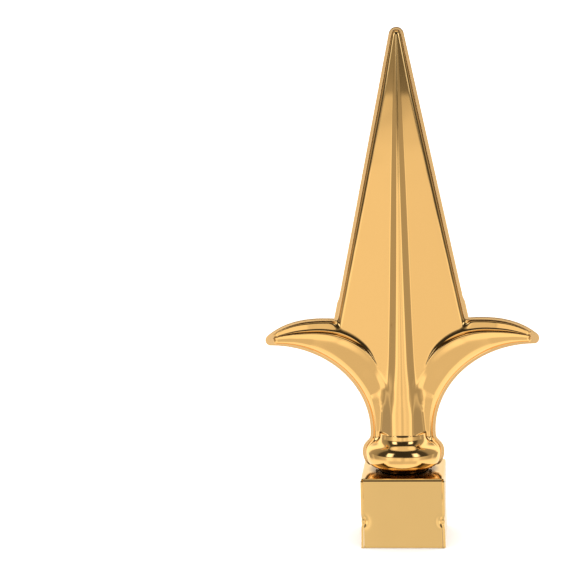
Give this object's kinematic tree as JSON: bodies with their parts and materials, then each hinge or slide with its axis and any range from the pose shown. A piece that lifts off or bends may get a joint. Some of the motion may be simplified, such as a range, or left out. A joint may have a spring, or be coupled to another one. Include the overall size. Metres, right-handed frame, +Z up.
{
  "type": "flagpole finial",
  "caption": "Spear finial pressed from gold-coated sheet in two welded halves, with side leaves and a ball, on a folded square cap that slips over a square post.",
  "frame": {"origin": "middle of the cap's open underside, on the surface it stands on", "axes": "+Z up along the spear, +X along the leaves, -Y towards the viewer of the picture's right-hand copy"},
  "size_m": [0.0886, 0.027, 0.1665],
  "materials": {
    "pressed_gold": "polished",
    "folded_gold": "polished"
  },
  "bodies": {
    "root": {"front_half_shell": "pressed_gold", "back_half_shell": "pressed_gold", "square_socket_cap": "folded_gold"}
  },
  "joints": []
}
